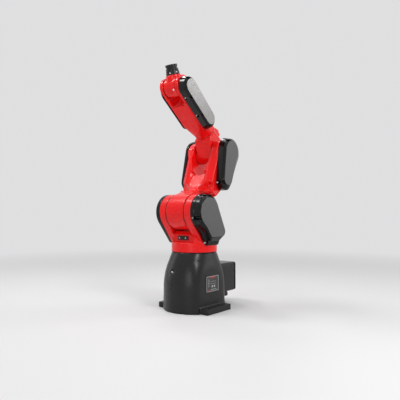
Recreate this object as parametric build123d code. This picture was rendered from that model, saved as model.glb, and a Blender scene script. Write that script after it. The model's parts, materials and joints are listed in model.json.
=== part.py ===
from build123d import *
import os
from math import atan2, cos, hypot, pi, radians, sin, sqrt

# Small six-axis robot arm, in millimetres.
# Origin: on the floor, on the waist axis. +Z up, the robot faces -Y, the data plate is on +X.
# Every link is drawn in its own side view and then set at the angle it has when at rest.

# Link lengths between the joint axes
SHOULDER_FORWARD = 50.0
SHOULDER_HEIGHT = 365.0
LOWER_ARM_LENGTH = 270.0
ELBOW_RISE = 50.0
FOREARM_LENGTH = 306.0
WRIST_LENGTH = 80.0

# Lean of each link from the vertical at rest, rearwards positive
LOWER_ARM_LEAN = 33.1
FOREARM_LEAN = -51.0
WRIST_LEAN = -17.9

# Running gaps
SIDE_GAP = 1.0
BORE_GAP = 0.3
FACE_GAP = 0.6

# Base
BASE_RADIUS = 118.0
NECK_RADIUS = 86.6
NECK_HEIGHT = 216.0
BELL_START = 85.0
BELL_CURVE = 280.0
BASE_FLAT = 86.0
FOOT_HALF_WIDTH = 120.0
FOOT_HALF_LENGTH = 72.0
FOOT_THICKNESS = 20.0
FOOT_CORNER = 3.0
BOLT_X = 103.0
BOLT_Y = 50.0
BOLT_HOLE_RADIUS = 5.5
BOX_HALF_WIDTH = 62.0
BOX_REAR = 183.0
BOX_BOTTOM = 50.0
BOX_TOP = 164.0
BOX_CORNER = 9.0
BOX_FRONT = 40.0
STEP_REAR = 138.0
STEP_BOTTOM = 33.0
STEP_HALF_WIDTH = 58.0
STEP_CORNER = 5.0
POWER_X = -28.0
POWER_HALF_WIDTH = 19.0
POWER_HEIGHT = 76.0
POWER_CORNER = 4.0
SIGNAL_X = 28.0
SIGNAL_Z = 129.0
SIGNAL_RADIUS = 15.0
SIGNAL_BORE = 11.5
SIGNAL_LENGTH = 16.0
PORT_X = (14.0, 42.0)
PORT_Z = 81.0
PORT_NUT = 8.0
PORT_RADIUS = 5.5
PANEL_THICKNESS = 7.0
PLATE_WIDTH = 75.0
PLATE_HEIGHT = 57.0
PLATE_CENTRE_Z = 101.0
PLATE_THICKNESS = 1.2
PLUG_X = -11.0
PLUG_Z = 148.0
PLUG_WELL_RADIUS = 9.0
PLUG_RADIUS = 8.6
PLUG_SEAT = 104.0

# Turret
HUB_HALF_WIDTH = 42.0
EAR_INNER = HUB_HALF_WIDTH + SIDE_GAP
EAR_OUTER = 75.0
EAR_RADIUS = 66.0
EAR_ROUNDING = 3.0
HUB_OPENING = -62.0
HUB_RADIUS = 66.9
HUB_CLEARANCE = 5.5
WAIST_SPIGOT_RADIUS = 60.0
WAIST_SPIGOT_HEIGHT = 14.0
JOURNAL_RADIUS = 30.0
JOURNAL_LENGTH = 16.0
HUB_STEP = 38.5
HUB_STEP_RADIUS = 65.0
SHOULDER_FLANGE = 90.0
SHOULDER_COVER_EDGE = 106.0
SHOULDER_COVER_FACE = 120.0
SHOULDER_COVER_LEFT = 95.0
PANEL_DEPTH = 0.8
NECK_SHELF = 254.0
POCKET_FRONT = -67.0
WINDOW_HALF_WIDTH = 24.0
WINDOW_Z = 268.0
WINDOW_HEIGHT = 14.0
REAR_PLATE_Y = 77.5
REAR_PLATE_Z = 266.0
REAR_PLATE_WIDTH = 56.0
REAR_PLATE_HEIGHT = 20.0

# Moulded covers
COVER_RIM = 4.0
COVER_WELL = 7.0
LEFT_BEVEL = 4.0
LEFT_BEVEL_DEPTH = 5.0

# Lower arm and elbow
ARM_HALF_WIDTH = 75.0
SHANK_HALF_WIDTH = 56.0
ARM_ROUNDING = 7.0
FORK_HALF_GAP = 45.0
ELBOW_RADIUS = 54.0
ELBOW_COVER_EDGE = 104.0
ELBOW_COVER_FACE = 115.0
ELBOW_COVER_LEFT = 91.0
DRUM_RADIUS = 33.5
TUBE_RADIUS = 37.5
DRUM_HALF_WIDTH = FORK_HALF_GAP - SIDE_GAP
HOUSING_REAR = -44.0
HOUSING_CHAMFER = 4.0
ROLL_JOINT = 80.0
ROLL_FLANGE = 8.0
ROLL_JOURNAL_LENGTH = 14.0
REAR_CAP_RADIUS = 31.0
LUG_HEIGHT = 12.0
ROLL_RADIUS = 41.5

# Forearm and wrist
FOREARM_LEFT = -45.0
FOREARM_RIGHT = 42.0
FOREARM_HALF_DEPTH = 42.0
FOREARM_CORNER = 12.0
TAPER_END = 150.0
WRIST_EAR_RADIUS = 38.0
WRIST_SLOT_RADIUS = 69.5
WRIST_DRUM_RADIUS = 36.0
WRIST_DRUM_HALF_WIDTH = 29.0
WRIST_JOURNAL_RADIUS = 18.0
WRIST_JOURNAL_LENGTH = 8.0
FOREARM_COVER_FACE = 80.0
FOREARM_COVER_EDGE = 72.0
FOREARM_COVER_LEFT = -49.0
NECK_TOP = 43.0
NECK_TOP_RADIUS = 27.5
NECK_FOOT_RADIUS = 33.0
WRIST_ROUNDING = 4.0
COLLAR_TOP = 58.0
COLLAR_RADIUS = 25.0
FLANGE_RADIUS = 22.0
FLANGE_WAIST_RADIUS = 20.0
FLANGE_RING_RADIUS = 22.8
FLANGE_BOLT_CIRCLE = 31.5
FLANGE_BOLT_HOLE = 2.1
FLANGE_BORE_RADIUS = 10.0
FLANGE_JOURNAL_RADIUS = 12.0


def side_frame(y, z, lean):
    """Side view of a link: local x points to its rear, local y along it, local z to +X."""
    turn = radians(lean)
    return Plane(origin=(0, y, z), x_dir=(0, cos(turn), -sin(turn)), z_dir=(1, 0, 0))


def place(frame, across, along):
    """World point of a place in a link's side view."""
    spot = frame.from_local_coords(Vector(across, along, 0))
    return spot.X, spot.Y, spot.Z


SHOULDER = side_frame(-SHOULDER_FORWARD, SHOULDER_HEIGHT, 0)
LOWER_ARM = side_frame(-SHOULDER_FORWARD, SHOULDER_HEIGHT, LOWER_ARM_LEAN)
_, ELBOW_Y, ELBOW_Z = place(LOWER_ARM, 0, LOWER_ARM_LENGTH)
ELBOW = side_frame(ELBOW_Y, ELBOW_Z, FOREARM_LEAN)
_, WRIST_Y, WRIST_Z = place(ELBOW, ELBOW_RISE, FOREARM_LENGTH)
WRIST = side_frame(WRIST_Y, WRIST_Z, WRIST_LEAN)


def belt(circles):
    """Outline of a belt run anticlockwise round circles (across, along, radius).

    A positive radius rounds an outer corner, and a negative one a hollow.
    """
    count = len(circles)
    runs = []
    for i in range(count):
        x0, y0, r0 = circles[i]
        x1, y1, r1 = circles[(i + 1) % count]
        dx, dy = x1 - x0, y1 - y0
        length = hypot(dx, dy)
        lean = (r0 - r1) / length
        side = sqrt(1 - lean * lean)
        nx = (lean * dx + side * dy) / length
        ny = (lean * dy - side * dx) / length
        runs.append(((x0 + r0 * nx, y0 + r0 * ny), (x1 + r1 * nx, y1 + r1 * ny)))
    edges = []
    for i in range(count):
        cx, cy, r = circles[i]
        start = runs[i - 1][1]
        end = runs[i][0]
        first = atan2(start[1] - cy, start[0] - cx)
        last = atan2(end[1] - cy, end[0] - cx)
        sweep = (last - first) % (2 * pi) if r > 0 else -((first - last) % (2 * pi))
        middle = first + sweep / 2
        top = (cx + abs(r) * cos(middle), cy + abs(r) * sin(middle))
        edges.append(ThreePointArc(start, top, end))
        edges.append(Line(end, runs[i][1]))
    return make_face(edges)


def slab(frame, face, x_from, x_to):
    """A side-view face extruded across the robot, from one X to another."""
    return extrude(frame.offset(x_from) * face, amount=x_to - x_from, dir=(1, 0, 0))


def drum(frame, across, along, radius, x_from, x_to):
    """A cylinder whose axis runs across the robot."""
    return slab(frame, Pos(across, along) * Circle(radius), x_from, x_to)


def post(frame, across, along_from, along_to, radius, top_radius=None):
    """A cylinder or cone whose axis runs along a link."""
    direction = frame.y_dir
    height = along_to - along_from
    seat = Plane(origin=place(frame, across, along_from), x_dir=(1, 0, 0), z_dir=direction)
    if top_radius is None:
        return extrude(seat * Circle(radius), amount=height, dir=direction)
    rims = [seat * Circle(radius), seat.offset(height) * Circle(top_radius)]
    return loft(rims)


def box(frame, x_from, x_to, across, along):
    """A box in a link's side view, given its ends across and along."""
    size = Rectangle(across[1] - across[0], along[1] - along[0])
    middle = Pos((across[0] + across[1]) / 2, (along[0] + along[1]) / 2)
    return slab(frame, middle * size, x_from, x_to)


def bevel(frame, near, far, x_near, x_far):
    """A body whose outline changes evenly from one side view to another."""
    return loft([frame.offset(x_near) * belt(near), frame.offset(x_far) * belt(far)], ruled=True)


def shrink(circles, inset):
    """The outline that lies a given distance inside another."""
    return [(x, y, r - inset) for x, y, r in circles]


def soft_slab(frame, circles, x_from, x_to, softness):
    """A slab in side view with its two outer edges rounded over."""
    body = slab(frame, belt(circles), x_from, x_to)
    ends = body.faces().sort_by(Axis.X)
    return fillet(ends[0].edges() + ends[-1].edges(), softness)


def left_cover(frame, circles, outer, inner):
    """A flat cover on the left side of a joint, its outer edge bevelled."""
    body = slab(frame, belt(circles), LEFT_BEVEL_DEPTH - outer, -inner)
    return body + bevel(frame, shrink(circles, LEFT_BEVEL), circles, -outer, LEFT_BEVEL_DEPTH - outer)


def pocket(frame, spots, radius, x_from, x_to):
    """Round wells for the screws of a cover, in from its outer side."""
    wells = [drum(frame, across, along, radius, x_from, x_to) for across, along in spots]
    return Compound(children=wells)


# Outlines in the side views, as (across, along, radius); across is rearwards.
SHOULDER_RIM = [(0, 0, 66), (-48, -112, -48), (17, -117, 6), (78, -117, 6), (70, -76, 34)]
SHOULDER_EDGE = [(0, 0, 64), (-44, -106, -46), (15, -100, 7), (62, -98, 9), (90, -73, 14)]
SHOULDER_FACE = [(-7, 0, 52.5), (-52, -84, -40), (10, -78, 13), (68, -78, 13), (67, -72, 19)]
SHOULDER_LEFT = [(0, 0, 66), (18, -106, 14), (60, -84, 26)]
SHOULDER_SCREWS = [(-21, 57), (23, 55), (-56, -21), (13, -112)]
EAR = [(0, 0, EAR_RADIUS), (24, -118, 16), (76, -118, 16), (66, -76, 24)]
TRUNK = [(-8, -83, 5), (-8, -130, 9), (110, -130, 16), (106, -90, 16), (78, -80, 18), (38, -80, 18)]
ARM = [(0, 0, HUB_RADIUS), (102, 72, -54), (35, 172, 36), (0, 270, ELBOW_RADIUS), (-66, 112, -54)]
ARM_CHEEK = [(30, 111, 19), (34, 172, 36), (0, 270, ELBOW_RADIUS)]
ARM_RELIEF = [(0, 0, HUB_RADIUS + HUB_CLEARANCE), (28, 62, 36), (-24, 48, 30)]
ELBOW_RIM = [(-5, 286, 48), (40, 167, 36)]
ELBOW_EDGE = [(-1, 275, 52.5), (34, 156, 30)]
ELBOW_FACE = [(-10, 274, 39), (27, 169, 26)]
ELBOW_LEFT = [(-1, 282, 53), (28, 162, 37)]
ELBOW_SCREWS = [(-43, 295), (-15, 226), (15, 144)]
HOUSING_SIDE = [(0, 0, DRUM_RADIUS), (48, 0, 31), (48, 50, 20), (17, 68, 8)]
FOREARM_SIDE = [(50, 306, WRIST_EAR_RADIUS), (50, 150, FOREARM_HALF_DEPTH)]
FOREARM_RIM = [(49, 298, 39), (48, 142, 37)]
FOREARM_EDGE = [(41, 301, 34.5), (38, 152, 32)]
FOREARM_FACE = [(41, 299, 28), (37, 155, 25)]
FOREARM_LEFT_RIM = [(48, 292, 38), (47, 144, 37)]
FOREARM_SCREWS = [(52, 328), (15, 275), (14, 193), (26, 124)]

# Fork slot of the lower arm seen from its front, as (X, along, radius)
FORK_SLOT = [
    (0, 200, 36),
    (0, 232, FORK_HALF_GAP),
    (0, 500, FORK_HALF_GAP),
    (0, 232, FORK_HALF_GAP),
]


def base_casting():
    """Bell-shaped base with two flat sides and a bolted foot along each of them."""
    drop = BELL_CURVE - sqrt(BELL_CURVE ** 2 - (NECK_HEIGHT - BELL_START) ** 2)
    neck = BASE_RADIUS - drop
    halfway = (NECK_HEIGHT - BELL_START) / 2
    bulge = BASE_RADIUS - BELL_CURVE + sqrt(BELL_CURVE ** 2 - halfway ** 2)
    top = NECK_HEIGHT - FACE_GAP
    curve_start = (BASE_RADIUS, BELL_START)
    curve_end = (neck, NECK_HEIGHT)
    profile = make_face([
        Line((0, 0), (BASE_RADIUS, 0)),
        Line((BASE_RADIUS, 0), curve_start),
        ThreePointArc(curve_start, (bulge, BELL_START + halfway), curve_end),
        Line(curve_end, (0, NECK_HEIGHT)),
        Line((0, NECK_HEIGHT), (0, 0)),
    ])
    bell = revolve(Plane.XZ * profile, axis=Axis.Z)
    body = bell & Pos(0, 0, top / 2) * Box(2 * BASE_FLAT, 4 * BASE_RADIUS, top)
    body += upright(WAIST_SPIGOT_RADIUS, top - 5, top + WAIST_SPIGOT_HEIGHT)
    foot = RectangleRounded(2 * FOOT_HALF_WIDTH, 2 * FOOT_HALF_LENGTH, FOOT_CORNER)
    body += extrude(foot, amount=FOOT_THICKNESS)
    for x in (-BOLT_X, BOLT_X):
        for y in (-BOLT_Y, BOLT_Y):
            body -= upright(BOLT_HOLE_RADIUS, -5, FOOT_THICKNESS + 5, x, y)
    well = Cylinder(PLUG_WELL_RADIUS, 2 * (BASE_RADIUS - PLUG_SEAT))
    return body - Pos(PLUG_X, -BASE_RADIUS, PLUG_Z) * Rot(90, 0, 0) * well


def upright(radius, z_from, z_to, x=0.0, y=0.0):
    """A vertical cylinder."""
    return Pos(x, y, (z_from + z_to) / 2) * Cylinder(radius, z_to - z_from)


def rear_box(y_from, y_to, half_width, z_from, z_to, corner, x=0.0):
    """A rounded housing that stands out of the rear of the base."""
    outline = RectangleRounded(2 * half_width, z_to - z_from, corner)
    seat = Plane(origin=(x, y_from, (z_from + z_to) / 2), x_dir=(1, 0, 0), z_dir=(0, 1, 0))
    return extrude(seat * outline, amount=y_to - y_from)


def rear_round(shape, x, y_from, y_to, z):
    """A round or hexagonal piece that stands out of the rear panel."""
    seat = Plane(origin=(x, y_from, z), x_dir=(1, 0, 0), z_dir=(0, 1, 0))
    return extrude(seat * shape, amount=y_to - y_from)


def rear_parts(base):
    """Connector housing, its lower block, the rear panel and what is plugged through it."""
    box = rear_box(BOX_FRONT, BOX_REAR, BOX_HALF_WIDTH, BOX_BOTTOM, BOX_TOP, BOX_CORNER) - base
    step = rear_box(BOX_FRONT, STEP_REAR, STEP_HALF_WIDTH, STEP_BOTTOM, BOX_BOTTOM, STEP_CORNER) - base
    face = BOX_REAR + PANEL_THICKNESS
    panel = rear_box(BOX_REAR, face, BOX_HALF_WIDTH - 1, BOX_BOTTOM + 1, BOX_TOP - 1, BOX_CORNER - 1)
    middle = (BOX_BOTTOM + BOX_TOP) / 2
    bottom, top = middle - POWER_HEIGHT / 2, middle + POWER_HEIGHT / 2
    power = rear_box(face, face + 20, POWER_HALF_WIDTH, bottom, top, POWER_CORNER, POWER_X)
    shell_end = face + SIGNAL_LENGTH
    signal = rear_round(Circle(SIGNAL_RADIUS), SIGNAL_X, face, shell_end, SIGNAL_Z)
    signal -= rear_round(Circle(SIGNAL_BORE), SIGNAL_X, shell_end - 2, shell_end + 2, SIGNAL_Z)
    ports = []
    for x in PORT_X:
        nut = rear_round(RegularPolygon(PORT_NUT, 6), x, face, face + 9, PORT_Z)
        ports.append(nut + rear_round(Circle(PORT_RADIUS), x, face, face + 18, PORT_Z))
    return {
        "connector_box": box,
        "connector_step": step,
        "connector_panel": panel,
        "power_connector": power,
        "signal_connector": signal,
        "air_ports": Compound(children=ports),
    }


def base_trim():
    """Data plate on the right side, and the plug in the front."""
    centre = (BASE_FLAT + PLATE_THICKNESS / 2, 0, PLATE_CENTRE_Z)
    plate = Pos(*centre) * Box(PLATE_THICKNESS, PLATE_WIDTH, PLATE_HEIGHT)
    head = Pos(PLUG_X, -PLUG_SEAT - 2, PLUG_Z) * Rot(90, 0, 0) * Cylinder(PLUG_RADIUS, 4)
    return {"data_plate": plate, "front_plug": head}


def neck_ring():
    """Round neck of the turret, up to the shelf."""
    ring = upright(NECK_RADIUS, NECK_HEIGHT, NECK_SHELF)
    return chamfer(ring.edges().sort_by(Axis.Z)[-1], 3.0)


def turret_casting():
    """Turret: round neck, a trunk with the front window, and two ears that hold the shoulder."""
    trunk = slab(SHOULDER, belt(TRUNK), -EAR_OUTER, EAR_OUTER)
    body = neck_ring() + (trunk & upright(NECK_RADIUS - 1, NECK_HEIGHT, 400))
    for x_from, x_to in ((-EAR_OUTER, -EAR_INNER), (EAR_INNER, EAR_OUTER)):
        body += soft_slab(SHOULDER, EAR, x_from, x_to, EAR_ROUNDING)
    body -= drum(SHOULDER, 0, 0, HUB_RADIUS + HUB_CLEARANCE, -EAR_INNER, EAR_INNER)
    body -= box(SHOULDER, -EAR_INNER, EAR_INNER, (-120, 200), (HUB_OPENING, 120))
    body -= Pos(0, POCKET_FRONT - 4, WINDOW_Z) * Box(2 * WINDOW_HALF_WIDTH, 16, WINDOW_HEIGHT)
    body -= upright(WAIST_SPIGOT_RADIUS + BORE_GAP, 200, NECK_HEIGHT + WAIST_SPIGOT_HEIGHT + FACE_GAP)
    reach = EAR_INNER + JOURNAL_LENGTH + FACE_GAP
    return body - drum(SHOULDER, 0, 0, JOURNAL_RADIUS + BORE_GAP, -reach, reach)


def turret_trim():
    """Window plate, side covers of the shoulder with their panel, and the rear plate."""
    window = Pos(0, POCKET_FRONT + 2.5, WINDOW_Z) * Box(2 * WINDOW_HALF_WIDTH, 3, WINDOW_HEIGHT)
    right = slab(SHOULDER, belt(SHOULDER_RIM), EAR_OUTER, SHOULDER_FLANGE)
    right += slab(SHOULDER, belt(SHOULDER_EDGE), SHOULDER_FLANGE - 1, SHOULDER_COVER_EDGE)
    seat = SHOULDER_COVER_FACE - PANEL_DEPTH
    right += bevel(SHOULDER, SHOULDER_EDGE, SHOULDER_FACE, SHOULDER_COVER_EDGE, seat)
    right -= pocket(SHOULDER, SHOULDER_SCREWS, COVER_WELL, EAR_OUTER + COVER_RIM, SHOULDER_COVER_FACE)
    panel = slab(SHOULDER, belt(shrink(SHOULDER_FACE, 1.0)), seat, SHOULDER_COVER_FACE)
    left = left_cover(SHOULDER, SHOULDER_LEFT, SHOULDER_COVER_LEFT, EAR_OUTER)
    neck = upright(NECK_RADIUS, NECK_HEIGHT, NECK_SHELF)
    rear = Pos(0, REAR_PLATE_Y, REAR_PLATE_Z) * Box(REAR_PLATE_WIDTH, 3, REAR_PLATE_HEIGHT)
    return {
        "turret_window": window,
        "shoulder_cover_right": right - neck,
        "shoulder_panel": panel,
        "shoulder_cover_left": left - neck,
        "turret_rear_plate": rear,
    }


def lower_arm_casting():
    """Lower arm: hub between the turret ears, a flared shank and the elbow fork."""
    body = soft_slab(LOWER_ARM, ARM, -SHANK_HALF_WIDTH, SHANK_HALF_WIDTH, ARM_ROUNDING)
    body += soft_slab(LOWER_ARM, ARM_CHEEK, -ARM_HALF_WIDTH, ARM_HALF_WIDTH, ARM_ROUNDING)
    body -= slab(LOWER_ARM, belt(ARM_RELIEF), HUB_STEP, ARM_HALF_WIDTH + 1)
    body -= slab(LOWER_ARM, belt(ARM_RELIEF), -ARM_HALF_WIDTH - 1, -HUB_STEP)
    body += drum(LOWER_ARM, 0, 0, HUB_STEP_RADIUS, -HUB_HALF_WIDTH, HUB_HALF_WIDTH)
    seat = Plane(origin=place(LOWER_ARM, 150, 0), x_dir=(1, 0, 0), z_dir=-LOWER_ARM.x_dir)
    body -= extrude(seat * belt(FORK_SLOT), amount=300)
    reach = HUB_HALF_WIDTH + SIDE_GAP + JOURNAL_LENGTH
    body += drum(LOWER_ARM, 0, 0, JOURNAL_RADIUS, -reach, reach)
    bore = FORK_HALF_GAP + JOURNAL_LENGTH + FACE_GAP
    return body - drum(LOWER_ARM, 0, LOWER_ARM_LENGTH, JOURNAL_RADIUS + BORE_GAP, -bore, bore)


def lower_arm_trim():
    """Covers on the two sides of the elbow fork, the right one with its panel."""
    seat = ELBOW_COVER_FACE - PANEL_DEPTH
    right = bevel(LOWER_ARM, ELBOW_RIM, ELBOW_EDGE, ARM_HALF_WIDTH, ELBOW_COVER_EDGE)
    right += bevel(LOWER_ARM, ELBOW_EDGE, ELBOW_FACE, ELBOW_COVER_EDGE, seat)
    right -= pocket(LOWER_ARM, ELBOW_SCREWS, COVER_WELL, ARM_HALF_WIDTH + COVER_RIM, ELBOW_COVER_FACE)
    panel = slab(LOWER_ARM, belt(shrink(ELBOW_FACE, 1.0)), seat, ELBOW_COVER_FACE)
    left = left_cover(LOWER_ARM, ELBOW_LEFT, ELBOW_COVER_LEFT, ARM_HALF_WIDTH)
    return {"elbow_cover_right": right, "elbow_panel": panel, "elbow_cover_left": left}


def elbow_housing():
    """Elbow: drum in the fork, with the round housing of the roll joint across its top."""
    body = drum(ELBOW, 0, 0, DRUM_RADIUS, -DRUM_HALF_WIDTH, DRUM_HALF_WIDTH)
    side = slab(ELBOW, belt(HOUSING_SIDE), -TUBE_RADIUS, TUBE_RADIUS)
    side &= box(ELBOW, -TUBE_RADIUS, TUBE_RADIUS, (-60, ELBOW_RISE), (-60, 100))
    body += side
    straight = HOUSING_REAR + HOUSING_CHAMFER
    body += post(ELBOW, ELBOW_RISE, HOUSING_REAR, straight, TUBE_RADIUS - HOUSING_CHAMFER, TUBE_RADIUS)
    body += post(ELBOW, ELBOW_RISE, straight, ROLL_JOINT - 6, TUBE_RADIUS)
    body += post(ELBOW, ELBOW_RISE, ROLL_JOINT - ROLL_FLANGE, ROLL_JOINT, ROLL_RADIUS)
    body += post(ELBOW, ELBOW_RISE, ROLL_JOINT - 1, ROLL_JOINT + ROLL_JOURNAL_LENGTH, JOURNAL_RADIUS)
    reach = DRUM_HALF_WIDTH + SIDE_GAP + JOURNAL_LENGTH
    return body + drum(ELBOW, 0, 0, JOURNAL_RADIUS, -reach, reach)


def elbow_trim():
    """Rear cap of the roll motor, and the hose bracket on top of the housing."""
    cap = post(ELBOW, ELBOW_RISE, HOUSING_REAR - 5, HOUSING_REAR, REAR_CAP_RADIUS - 3, REAR_CAP_RADIUS)
    top = ELBOW_RISE + TUBE_RADIUS
    bracket = box(ELBOW, -6, 26, (top - 12, top + 2), (28, 64))
    bracket += box(ELBOW, 0, 5, (top, top + LUG_HEIGHT), (50, 60))
    bracket += box(ELBOW, 16, 21, (top, top + LUG_HEIGHT), (38, 48))
    bracket -= post(ELBOW, ELBOW_RISE, HOUSING_REAR, ROLL_JOINT, TUBE_RADIUS)
    return {"elbow_rear_cap": cap, "elbow_bracket": bracket}


def forearm_casting():
    """Forearm: round at the roll joint, then a long body that ends in the wrist fork."""
    start = ROLL_JOINT + FACE_GAP
    middle = (FOREARM_LEFT + FOREARM_RIGHT) / 2
    width = FOREARM_RIGHT - FOREARM_LEFT
    seat = Plane(origin=place(ELBOW, ELBOW_RISE, start), x_dir=(1, 0, 0), z_dir=ELBOW.y_dir)
    section = Pos(middle, 0) * RectangleRounded(width, 2 * FOREARM_HALF_DEPTH, FOREARM_CORNER)
    side = slab(ELBOW, belt(FOREARM_SIDE), FOREARM_LEFT, FOREARM_RIGHT)
    body = side & extrude(seat.offset(TAPER_END - start) * section, amount=260)
    body += loft([seat.offset(ROLL_FLANGE) * Circle(ROLL_RADIUS), seat.offset(TAPER_END - start) * section])
    body += post(ELBOW, ELBOW_RISE, start, start + ROLL_FLANGE, ROLL_RADIUS)
    gap = WRIST_DRUM_HALF_WIDTH + SIDE_GAP
    body -= drum(ELBOW, ELBOW_RISE, FOREARM_LENGTH, WRIST_SLOT_RADIUS, -gap, gap)
    body -= box(ELBOW, -gap, gap, (-10, 110), (FOREARM_LENGTH, FOREARM_LENGTH + 60))
    socket = ROLL_JOINT + ROLL_JOURNAL_LENGTH + FACE_GAP
    body -= post(ELBOW, ELBOW_RISE, start - 20, socket, JOURNAL_RADIUS + BORE_GAP)
    bore = gap + WRIST_JOURNAL_LENGTH + FACE_GAP
    return body - drum(ELBOW, ELBOW_RISE, FOREARM_LENGTH, WRIST_JOURNAL_RADIUS + BORE_GAP, -bore, bore)


def forearm_trim():
    """Covers on the two sides of the forearm, the right one with its pale panel."""
    seat = FOREARM_COVER_FACE - PANEL_DEPTH
    right = bevel(ELBOW, FOREARM_RIM, FOREARM_EDGE, FOREARM_RIGHT, FOREARM_COVER_EDGE)
    right += bevel(ELBOW, FOREARM_EDGE, FOREARM_FACE, FOREARM_COVER_EDGE, seat)
    right -= pocket(ELBOW, FOREARM_SCREWS, COVER_WELL - 0.5, FOREARM_RIGHT + COVER_RIM, FOREARM_COVER_FACE)
    panel = slab(ELBOW, belt(shrink(FOREARM_FACE, 0.6)), seat, FOREARM_COVER_FACE)
    left = slab(ELBOW, belt(FOREARM_LEFT_RIM), FOREARM_COVER_LEFT, FOREARM_LEFT)
    return {"forearm_cover_right": right, "forearm_panel": panel, "forearm_cover_left": left}


def wrist_casting():
    """Wrist: drum in the forearm's fork and the tapered neck that carries the flange."""
    width = WRIST_DRUM_HALF_WIDTH
    neck = post(WRIST, 0, 2, NECK_TOP, NECK_FOOT_RADIUS, NECK_TOP_RADIUS)
    body = neck & box(WRIST, -width, width, (-60, 60), (-60, 60))
    outline = [(0, -0.5, WRIST_DRUM_RADIUS), (0, 0.5, WRIST_DRUM_RADIUS)]
    body += soft_slab(WRIST, outline, -width, width, WRIST_ROUNDING)
    reach = width + SIDE_GAP + WRIST_JOURNAL_LENGTH
    return body + drum(WRIST, 0, 0, WRIST_JOURNAL_RADIUS, -reach, reach)


def wrist_trim():
    """Dark collar round the flange joint."""
    collar = post(WRIST, 0, NECK_TOP, COLLAR_TOP, COLLAR_RADIUS, COLLAR_RADIUS - 1.5)
    socket = post(WRIST, 0, COLLAR_TOP - 5, COLLAR_TOP + 1, FLANGE_JOURNAL_RADIUS + BORE_GAP)
    return {"wrist_collar": collar - socket}


def tool_flange():
    """Tool flange: stepped disc with a centring bore and four tapped holes."""
    start = COLLAR_TOP + FACE_GAP
    body = post(WRIST, 0, start, start + 7, FLANGE_RING_RADIUS)
    body += post(WRIST, 0, start + 6, WRIST_LENGTH - 7, FLANGE_WAIST_RADIUS)
    body += post(WRIST, 0, WRIST_LENGTH - 8, WRIST_LENGTH, FLANGE_RADIUS)
    body += post(WRIST, 0, COLLAR_TOP - 4, start + 1, FLANGE_JOURNAL_RADIUS)
    body -= post(WRIST, 0, WRIST_LENGTH - 6, WRIST_LENGTH + 1, FLANGE_BORE_RADIUS)
    seat = Plane(origin=place(WRIST, 0, WRIST_LENGTH - 9), x_dir=(1, 0, 0), z_dir=WRIST.y_dir)
    for hole in PolarLocations(FLANGE_BOLT_CIRCLE / 2, 4, start_angle=45):
        body -= extrude(seat * hole * Circle(FLANGE_BOLT_HOLE), amount=12)
    return body


def main():
    base = base_casting()
    nodes = {"base_casting": base}
    nodes.update(rear_parts(base))
    nodes.update(base_trim())
    nodes["turret_casting"] = turret_casting()
    nodes.update(turret_trim())
    nodes["lower_arm_casting"] = lower_arm_casting()
    nodes.update(lower_arm_trim())
    nodes["elbow_housing"] = elbow_housing()
    nodes.update(elbow_trim())
    nodes["forearm_casting"] = forearm_casting()
    nodes.update(forearm_trim())
    nodes["wrist_casting"] = wrist_casting()
    nodes.update(wrist_trim())
    nodes["tool_flange"] = tool_flange()
    os.makedirs("parts", exist_ok=True)
    for name, shape in nodes.items():
        export_step(shape, f"parts/{name}.step")


main()
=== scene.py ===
# %% [markdown]
# # A six-axis robot arm, dressed for the camera
# The robot's solids come from its CAD model, packed as a frame that never moves. This lesson gives every
# solid the finish of the real machine: sprayed enamel on the castings, moulded covers, blackened steel at
# the flange. It adds the screws, seals and fittings that are too small for the CAD model.

# %% Load the frame
import json
from math import cos, radians, sin, tau

import bmesh
import bpy
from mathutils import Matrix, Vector


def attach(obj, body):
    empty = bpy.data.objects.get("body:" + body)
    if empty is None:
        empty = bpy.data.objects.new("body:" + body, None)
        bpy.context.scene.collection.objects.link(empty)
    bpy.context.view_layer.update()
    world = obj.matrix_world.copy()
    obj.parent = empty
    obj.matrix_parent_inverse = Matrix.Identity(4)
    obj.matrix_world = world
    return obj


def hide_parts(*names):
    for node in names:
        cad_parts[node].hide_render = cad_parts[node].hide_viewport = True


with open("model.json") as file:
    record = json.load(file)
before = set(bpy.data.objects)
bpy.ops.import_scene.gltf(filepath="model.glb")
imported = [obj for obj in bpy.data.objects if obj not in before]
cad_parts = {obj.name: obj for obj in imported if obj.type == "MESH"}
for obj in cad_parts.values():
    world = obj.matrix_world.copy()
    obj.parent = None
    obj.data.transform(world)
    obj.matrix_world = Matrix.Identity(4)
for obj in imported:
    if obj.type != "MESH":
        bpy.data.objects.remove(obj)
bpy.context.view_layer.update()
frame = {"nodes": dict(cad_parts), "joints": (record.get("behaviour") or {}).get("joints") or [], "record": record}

# %% [markdown]
# ## Where things are
# A robot's parts are laid out along its links, so places on them read best as "so far along the link, so
# far behind its axis, so far to the side". World coordinates would also do, but each number would then
# mix three lengths and two angles. The joints of the frame give each link its origin and its direction.

# %% Links of the robot
MM = 0.001
joints = {joint["name"]: joint for joint in frame["joints"]}


class Link:
    """A link's own directions: along it, across it to its rear, and sideways to +X."""

    def __init__(self, start, along):
        self.start = Vector(start)
        self.along = Vector(along).normalized()
        self.across = Vector((0, self.along.z, -self.along.y))
        self.side = Vector((1, 0, 0))

    def at(self, across, along, x):
        """World place of a point given in millimetres."""
        return self.start + (self.across * across + self.along * along + self.side * x) * MM


shoulder_at = Vector(joints["shoulder"]["pos_m"])
elbow_at = Vector(joints["elbow_bend"]["pos_m"])
TURRET = Link(shoulder_at, (0, 0, 1))
ARM = Link(shoulder_at, elbow_at - shoulder_at)
FOREARM = Link(elbow_at, joints["forearm_roll"]["axis"])
WRIST = Link(joints["wrist_bend"]["pos_m"], joints["flange_spin"]["axis"])
print("lower arm length in mm:", round((elbow_at - shoulder_at).length / MM, 1))

# %% [markdown]
# ## The camera
# The photograph was taken from the robot's front right, with the lens a little below its shoulder. Level
# edges that run to one vanishing point give the direction, and the robot's known joint places give the
# distance and the focal length. A small sideways lens shift puts the robot at its place in the frame.

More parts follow.
